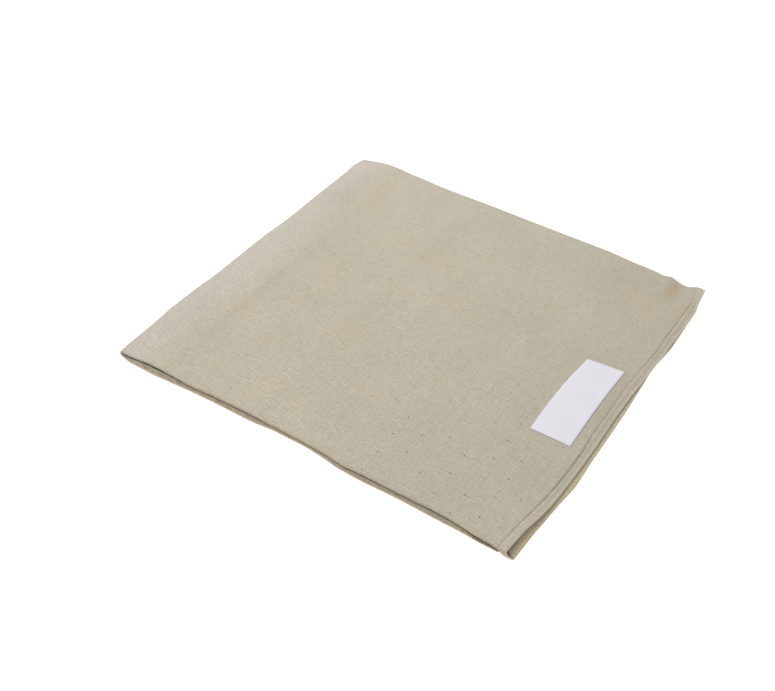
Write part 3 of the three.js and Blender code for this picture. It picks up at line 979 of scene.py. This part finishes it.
@dataclass
class Sheet:
    """A thin sheet on a grid of points, with its own map in metres and the masks that its material reads."""

    name: str
    points: Array
    along: Array
    across: Array
    masks: dict[str, Array]
    thickness: float
    shares: Array | None = None

    def build(self, material: Material) -> bpy.types.Object:
        """Build the sheet.

        Args:
            material: Its material.

        Returns:
            The object, whose modifier gives it its thickness.
        """
        columns, rows = self.points.shape[:2]
        mesh = bmesh.new()
        bmesh.ops.create_grid(mesh, x_segments=columns - 1, y_segments=rows - 1, size=0.5)
        mesh.verts.ensure_lookup_table()
        grid = np.array([v.co[:2] for v in mesh.verts]) + 0.5
        i, j = np.rint(grid * (columns - 1, rows - 1)).astype(int).T
        placed = (self.points + np.array([*TABLE_ORIGIN, 0.0]))[i, j] * MM
        for vertex, point in zip(mesh.verts, placed):
            vertex.co = point
        for name, values in self.masks.items():
            layer = mesh.verts.layers.float.new(name)
            for vertex, value in zip(mesh.verts, values[i, j]):
                vertex[layer] = value
        layer = mesh.loops.layers.uv.new(MAP_NAME)
        for face in mesh.faces:
            for loop in face.loops:
                loop[layer].uv = (self.along[i[loop.vert.index]], self.across[j[loop.vert.index]])
        made = finished_object(self.name, mesh, material)
        solidify = made.modifiers.new("thickness", "SOLIDIFY")
        solidify.thickness = self.thickness * MM
        solidify.offset = 0.0
        if self.shares is not None:
            group = made.vertex_groups.new(name="thickness")
            for index, share in enumerate(self.shares[i, j]):
                group.add([index], float(share), "REPLACE")
            solidify.vertex_group = group.name
        return made



@dataclass
class FoldedCloth:
    """The whole cloth as one thin sheet on its folds, thicker at its hems."""

    folds: FoldMap
    name: str = "folded_cloth"
    flat: Span = (1.0, 1.49)
    hem_steps: Row = (0, 0.35, 0.9, 1.8, 3.2, 5, 7, 8.6, 9.5, 10.2, 10.9, 12, 13.8, 16, 19, 23)
    hem_profile: Row = (0.3, 0.68, 0.9, 1.0, 1.0, 0.85, 0.42)
    hem_profile_steps: Row = (0, 0.35, 0.9, 1.8, 8.6, 9.5, 10.2)
    hidden_hem_steps: Row = (0, 0.8, 5, 9.2, 10.2, 12.5, 23)
    to_shared_spans: tuple[int, int] = (6, 3)
    top_spans: int = 92
    top_left: tuple[float, float, int] = (-174.2, -254.0, 20)
    left_fold_spans: int = 14
    low_left: Row = (-250, -241, -229, -215, -201, -186)
    hidden_spans: int = 32
    near_right_fold: Row = (217, 222)
    right_fold_spans: int = 10
    outer_spans: int = 116
    inner_spans: int = 46
    front_spans: int = 12
    insets: Row = (0, 2.2, 4.8, 8, 12, 17)
    roll_strength: float = 1.3
    roll_fade: float = 10
    roll_forward: float = 1.6
    # Warm tint painted on the front folds' faces, for the warm colour of their shade.
    roll_shade_warmth: float = 0.9
    # The seam mask is painted shade along the hem's stitch groove: its place, strength, waver, fading and
    # start.
    seam_place: Span = (0.2, 0.75)
    seam_strength: Span = (0.8, 0.7)
    seam_waver: Triple = (20, 9, 33.1)
    seam_faint: Triple = (0.5, 30, 75)
    seam_least: float = 0.15
    seam_from: Span = (-235, -195)
    # The band mask is a painted highlight on the hem band, weaker towards the front, and painted light on the
    # lower hem, stronger towards the back. The warm mask also paints a warm tint on the lower hem for the
    # colour of its shade, cooler towards the back.
    band_highlight_from: Span = (-215, -170)
    lower_hem_fade: Span = (12, 30)
    lower_hem_painted_light: Span = (0.4, 0.35)
    lower_hem_from: Span = (-190, -90)
    lower_hem_cools: Triple = (0.25, -190, -110)
    pale_strength: float = 0.6
    pale_span: Span = (-236, -196)
    # Painted shade on the upper part of the low third's front fold under the top fold, and on the lower half
    # of the top fold's front roll near its right end. It adds to the darker patches in the dark mask, which
    # is clipped to its limits.
    low_fold_painted_shade: float = 1.5
    low_fold_shade_span: Span = (-0.2, 0.95)
    wrap_painted_shade: float = 1.3
    wrap_shade_starts: Span = (233, 239)
    wrap_shade_ends: Span = (245, 251)
    wrap_shade_span: Span = (-0.5, 0.5)
    dark_limits: Span = (-1, 1.5)
    blotch_warmth: float = 0.07
    blotch_waver: Triple = (20, 14, 61.7)
    # Painted shade in the hollow behind the top fold's wrap, on the top third's inner face at the hem's front
    # end: its edge line, where it starts along X, and how softly its edge fades.
    hollow_shade_line: Triple = (246.5, -243.0, -0.55)
    hollow_shade_starts: Span = (240, 244)
    hollow_shade_edge: Span = (-1.2, 1.6)
    inner_face: float = -0.75
    ties_strength: Span = (0.25, 0.75)
    ties_from: Span = (20, 60)
    ties_to: Span = (-110, -60)
    ties_past_hem: float = 30
    crispness: Triple = (0.8, -0.0006, -0.0002)

    def lay_out(self) -> list[Station]:
        """List the stations along the length, from the top third's hem to the middle third's."""
        right, left = self.folds.shared_right, self.folds.shared_left

        def flat(third: Third, places: list[float]) -> list[Station]:
            """Lay stations on one third."""
            return [Station(third, third, x=x) for x in places]

        def bend(third: Third, following: Third, spans: int) -> list[Station]:
            """Lay stations round a fold."""
            return [Station(third, following, turn=i / spans) for i in range(spans + 1)]

        top, low, middle = Third.TOP, Third.LOW, Third.MIDDLE
        hidden = list(np.linspace(right, left, self.hidden_spans + 1))
        near = list(self.near_right_fold)
        top_spans, middle_spans = self.to_shared_spans
        found = [Station(top, top, from_hem=s) for s in self.hem_steps]
        found += [Station(top, top, to_shared=i / top_spans) for i in range(1, top_spans)]
        found += flat(top, list(np.linspace(right, left, self.top_spans + 1)))
        found += flat(top, list(np.linspace(*self.top_left)))
        found += bend(top, low, self.left_fold_spans)
        found += flat(low, list(self.low_left)) + flat(low, hidden[::-1]) + flat(low, near)
        found += bend(low, middle, self.right_fold_spans)
        found += flat(middle, near[::-1]) + flat(middle, hidden)
        found += [Station(middle, middle, to_shared=i / middle_spans) for i in range(middle_spans - 1, 0, -1)]
        return found + [Station(middle, middle, from_hem=s) for s in reversed(self.hidden_hem_steps)]

    def thickness(self, station: Station) -> float:
        """Return the cloth's thickness at a station as a share of the hem's."""
        if station.from_hem is None or station.from_hem > self.folds.hem_width:
            return self.folds.cloth / self.folds.hem_thickness
        return float(np.interp(station.from_hem, self.hem_profile_steps, self.hem_profile))

    def masks(self, stations: list[Station], points: Array, rows: CrosswiseRows) -> dict[str, Array]:
        """Find the masks that the cloth's material reads, painted shade and painted light among them.

        Args:
            stations: The places along the length.
            points: Every point, by station and row, in the tables' millimetres.
            rows: The rows across the width.

        Returns:
            Values by the mask's name, station and row.
        """
        x, y = points[..., 0], points[..., 1]
        level, everywhere = np.zeros_like(x), np.ones_like(x)
        top = np.array([s.third is Third.TOP and s.turn < 0.5 for s in stations])[:, None]
        low = np.array([s.third is Third.LOW for s in stations])[:, None]
        hem = np.array([np.inf if s.from_hem is None else s.from_hem for s in stations])[:, None]
        upper = top & (rows.outward > 0.5)
        near_front = (rows.share == 0) * np.clip(self.roll_strength - rows.inset / self.roll_fade, 0, 1)
        roll = near_front * np.clip(rows.forward * self.roll_forward, 0, 1) * everywhere
        band = upper * (hem < self.folds.hem_width) * everywhere
        lower_hem = top * (rows.outward < -0.5) * (1 - smoothstep(hem, *self.lower_hem_fade))

        # Painted shade along the hem's stitch groove, uneven along Y, fainter near the front and about the
        # middle, and fading out at the back.
        faint, faint_at, faint_reach = self.seam_faint
        waver = self.seam_strength[0] + self.seam_strength[1] * grain(level, y, *self.seam_waver)
        uneven = np.clip(waver * (1 - faint * bell(y - faint_at, faint_reach)), self.seam_least, 1)
        painted_seam_shade = bell(hem - self.folds.hem_width - self.seam_place[0], self.seam_place[1]) * uneven
        painted_seam_shade = painted_seam_shade * (0.5 + 0.5 * smoothstep(y, *self.seam_from))
        painted_seam_shade = painted_seam_shade * (1 - smoothstep(y, *self.folds.seam_fades))

        dark, warm = level, level
        for patch in PATCHES:
            there = bell(x - patch.x, patch.across) * bell(y - patch.y, patch.along) * upper
            dark, warm = dark + patch.dark * there, warm + patch.warm * there
        # Painted shade on the low third's front fold under the top fold, and on the lower half of the top
        # fold's front roll near the hem.
        wrap_shade_along = smoothstep(x, *self.wrap_shade_starts) * (1 - smoothstep(x, *self.wrap_shade_ends))
        dark = dark + self.low_fold_painted_shade * low * near_front * smoothstep(-rows.outward, *self.low_fold_shade_span)
        dark = dark + self.wrap_painted_shade * top * wrap_shade_along * near_front * smoothstep(-rows.outward, *self.wrap_shade_span)
        # A warm tint painted on the lower hem and on the front folds' faces stands in for the warm colour of
        # their shade. On the lower hem it is cooler towards the back, and the hem band gets uneven warm
        # blotches.
        cools, *cools_from = self.lower_hem_cools
        warm = warm + self.blotch_warmth * band * (1 + grain(level, y, *self.blotch_waver))
        warm = warm + (1 - cools * smoothstep(y, *cools_from)) * lower_hem + self.roll_shade_warmth * roll

        # Painted shade in the hollow behind the top fold's wrap at the hem's front end.
        corner_x, corner_y, slope = self.hollow_shade_line
        past_corner = y - corner_y - slope * (x - corner_x)
        painted_hollow_shade = smoothstep(x, *self.hollow_shade_starts) * (1 - smoothstep(past_corner, *self.hollow_shade_edge))
        # Painted light on the lower hem, stronger towards the back.
        painted_lower_hem_light = self.lower_hem_painted_light[0] + self.lower_hem_painted_light[1] * smoothstep(y, *self.lower_hem_from)
        tied = smoothstep(x, *self.ties_from) * (1 - smoothstep(y, *self.ties_to))
        crisp, crisp_y, crisp_x = self.crispness
        return {
            "front_roll": roll,
            "painted_seam_shade": painted_seam_shade,
            # Painted highlight on the hem band and painted light on the lower hem.
            "band": band * (0.5 + 0.5 * smoothstep(y, *self.band_highlight_from)) + painted_lower_hem_light * lower_hem,
            "painted_hollow_shade": painted_hollow_shade * top * (rows.outward < self.inner_face),
            "dark": np.clip(dark, *self.dark_limits),
            "warm": np.clip(warm, 0, 1),
            "pale": self.pale_strength * top * (1 - smoothstep(x, *self.pale_span)),
            "ties": (self.ties_strength[0] + self.ties_strength[1] * tied) * (hem > self.ties_past_hem),
            "crisp": crisp + crisp_y * y + crisp_x * x,
        }

    def build(self, material: Material) -> bpy.types.Object:
        """Args:
            material: The cloth's material.

        Returns:
            The piece.
        """
        stations = self.lay_out()
        rows = CrosswiseRows.build(self.outer_spans, self.inner_spans, self.front_spans, self.insets)
        points = np.array([self.folds.place(station, rows) for station in stations])
        steps = [np.linalg.norm(np.diff(points, axis=k), axis=-1) for k in (0, 1)]
        along, across = (np.append(0, np.cumsum(np.median(steps[k], axis=1 - k))) * MM for k in (0, 1))
        LOG.info("cloth measures %.3f by %.3f m flat", across[-1], along[-1])
        shares = np.array([self.thickness(s) for s in stations])[:, None] * rows.edge
        masks = self.masks(stations, points, rows)
        sheet = Sheet(self.name, points, along, across, masks, self.folds.hem_thickness, shares)
        made = sheet.build(material)
        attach(made, BODY)
        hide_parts(CLOTH_NODE)
        return made


@dataclass
class SewnLabel:
    """Blank satin label, stitched flat on the top layer beside the hem."""

    folds: FoldMap
    name: str = "satin_label"
    thickness: float = 0.36
    lift: float = 0.78
    spans: tuple[int, int] = (24, 70)
    back_left: Span = (190.8, 47.9)
    back_right: Span = (235.7, 51.4)
    front_left: Span = (187.8, -87.9)
    front_right: Span = (235.8, -87.9)
    bow: Span = (3.0, 1.3)
    crown: float = 0.15
    crown_waver: Triple = (30, 26, 21.5)
    rim_sides: Span = (46, 136)
    rim_width: float = 2.5
    flat: Span = (0.048, 0.138)

    def points(self, across: Array, along: Array) -> Array:
        """Find points of the label.

        Args:
            across: Shares of its width, from its left edge.
            along: Shares of its length, from its front edge.

        Returns:
            The points, in the tables' millimetres.
        """
        corners = [np.array(c) for c in (self.front_left, self.front_right, self.back_left, self.back_right)]
        front = corners[0] + (corners[1] - corners[0]) * across[..., None]
        back = corners[2] + (corners[3] - corners[2]) * across[..., None]
        x, y = np.moveaxis(front + (back - front) * along[..., None], -1, 0)
        x = x - (self.bow[0] + (self.bow[1] - self.bow[0]) * across) * np.sin(np.pi * along)
        crown = self.crown * np.sin(np.pi * across) * (1 + grain(x, y, *self.crown_waver))
        return np.stack([x, y, self.folds.top_surface(x, y) + self.lift + crown], axis=-1)

    def build(self, material: Material) -> bpy.types.Object:
        """Args:
            material: Its material.

        Returns:
            The piece.
        """
        shares = [np.linspace(0, 1, spans + 1) for spans in self.spans]
        across, along = np.meshgrid(*shares, indexing="ij")
        insets = [np.minimum(share, 1 - share) * side for share, side in zip((across, along), self.rim_sides)]
        masks = {"edge": 1 - smoothstep(np.minimum(*insets), 0, self.rim_width)}
        width, length = (share * side for share, side in zip(shares, self.flat))
        sheet = Sheet(self.name, self.points(across, along), width, length, masks, self.thickness)
        made = sheet.build(material)
        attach(made, BODY)
        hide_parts(LABEL_NODE)
        return made


@dataclass
class Stitching:
    """A line of lockstitches, each a small rounded thread that dips into the cloth at its ends."""

    name: str
    path: Array
    slot: str
    spacing: float = 3.6
    length: float = 2.7
    radius: float = 0.24
    sides: int = 6

    def build(self, material: Material) -> bpy.types.Object:
        """Build the stitches.

        Args:
            material: The thread's material.

        Returns:
            The piece.
        """
        run = np.concatenate([[0], np.cumsum(np.linalg.norm(np.diff(self.path, axis=0), axis=-1))])
        size = Matrix.Diagonal((self.radius, self.radius, self.length / 2, 1.0))
        origin = Matrix.Translation((*TABLE_ORIGIN, 0.0))
        mesh = bmesh.new()
        for start in np.arange(self.spacing / 2, run[-1] - self.spacing / 2, self.spacing):
            ends = [
                Vector([float(np.interp(s, run, self.path[:, k])) for k in range(3)])
                for s in (start - self.length / 2, start + self.length / 2)
            ]
            turn = (ends[1] - ends[0]).normalized().to_track_quat("Z", "Y").to_matrix().to_4x4()
            place = Matrix.Scale(MM, 4) @ origin @ Matrix.Translation((ends[0] + ends[1]) / 2) @ turn @ size
            sides = {"u_segments": self.sides, "v_segments": self.sides}
            bmesh.ops.create_uvsphere(mesh, radius=1.0, matrix=place, **sides)
        made = finished_object(self.name, mesh, material)
        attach(made, BODY)
        return made


@dataclass(frozen=True)
class Viewpoint:
    """The photograph's viewing angle, in the part's frame, in metres."""

    position: Triple = (0.504733, -0.893142, 0.890500)
    right: Triple = (0.83662, 0.54723, 0.02462)
    down: Triple = (0.38267, -0.55170, -0.74107)
    forward: Triple = (-0.39195, 0.62942, -0.67097)
    lens: float = 52.86
    sensor: float = 36.0
    reach: Span = (0.05, 20.0)

    def build(self) -> None:
        """Place the scene's camera."""
        data = bpy.data.cameras.new("camera")
        data.lens = self.lens
        data.sensor_width = self.sensor
        data.clip_start, data.clip_end = self.reach
        camera = bpy.data.objects.new("camera", data)
        turn = Matrix((Vector(self.right), -Vector(self.down), -Vector(self.forward))).transposed().to_4x4()
        camera.matrix_world = Matrix.Translation(Vector(self.position)) @ turn
        bpy.context.scene.collection.objects.link(camera)
        bpy.context.scene.camera = camera


class Lamp(NamedTuple):
    """A square light that faces the cloth: its name, place, side and power in watts."""

    name: str
    place: Triple
    size: float
    energy: float


@dataclass(frozen=True)
class Studio:
    """Pale floor and soft light from the left and from behind."""

    floor_size: float = 6.0
    lamps: tuple[Lamp, ...] = table(
        Lamp, ("key", (-1.7, 0.5, 1.7), 1.6, 56.0), ("fill", (1.4, -1.6, 1.8), 2.2, 10.0)
    )
    sky: float = 0.67

    def build(self, material: Material) -> None:
        """Lay the floor and hang the lights.

        Args:
            material: The floor's material.
        """
        mesh = bmesh.new()
        bmesh.ops.create_grid(mesh, x_segments=2, y_segments=2, size=self.floor_size / 2)
        floor = finished_object("floor", mesh, material)
        for lamp in self.lamps:
            data = bpy.data.lights.new(lamp.name, "AREA")
            data.size, data.energy = lamp.size, lamp.energy
            made = bpy.data.objects.new(lamp.name, data)
            made.location = lamp.place
            made.rotation_mode = "QUATERNION"
            made.rotation_quaternion = (-Vector(lamp.place)).to_track_quat("-Z", "Y")
            bpy.context.scene.collection.objects.link(made)
        world = bpy.data.worlds.new("studio")
        world.use_nodes = True
        background = world.node_tree.nodes["Background"]
        background.inputs["Color"].default_value = (1.0, 1.0, 1.0, 1.0)
        background.inputs["Strength"].default_value = self.sky
        bpy.context.scene.world = world
        bpy.context.scene.view_settings.view_transform = "Standard"


def hem_path(folds: FoldMap, upper: bool, sink: float = 0.08) -> Array:
    """Find the line of stitches of the top third's upper or lower hem.

    Args:
        folds: The fold map.
        upper: True for the upper hem, seen from above, False for the lower one, seen from below.
        sink: How deep the thread's middle lies in the cloth's face.

    Returns:
        Points on the cloth's outer face, in the tables' millimetres.
    """
    y = np.arange(-238.0, 244.0, 1.0)
    outward = np.full_like(y, 1.0 if upper else -1.0)
    x = folds.right_hem(y, outward) - follow(RIGHT_HEMS, "y", "turned", y)
    middle = folds.top_surface(x, y) if upper else folds.heights(x, y)["top_inner"]
    return np.stack([x, y, middle + outward * (folds.cloth / 2 - sink)], axis=-1)


def main() -> None:
    """Build the scene."""
    logging.basicConfig(level=logging.INFO, format="%(message)s")
    folds = FoldMap()
    Viewpoint().build()
    Studio().build(FloorFinish().build())

    cloth = FoldedCloth(folds)
    cloth_piece = cloth.build(WovenCloth().build())
    thread = ThreadFinish().build()
    upper = Stitching("upper_hem_stitching", hem_path(folds, True), CLOTH_SLOT).build(thread)
    lower = Stitching("lower_hem_stitching", hem_path(folds, False), CLOTH_SLOT).build(thread)
    label = SewnLabel(folds)
    label_piece = label.build(SatinLabelFinish().build())

    for piece in (cloth_piece, upper, lower, label_piece):
        LOG.info("%s: %d vertices", piece.name, len(piece.data.vertices))


if __name__ == "__main__":
    main()
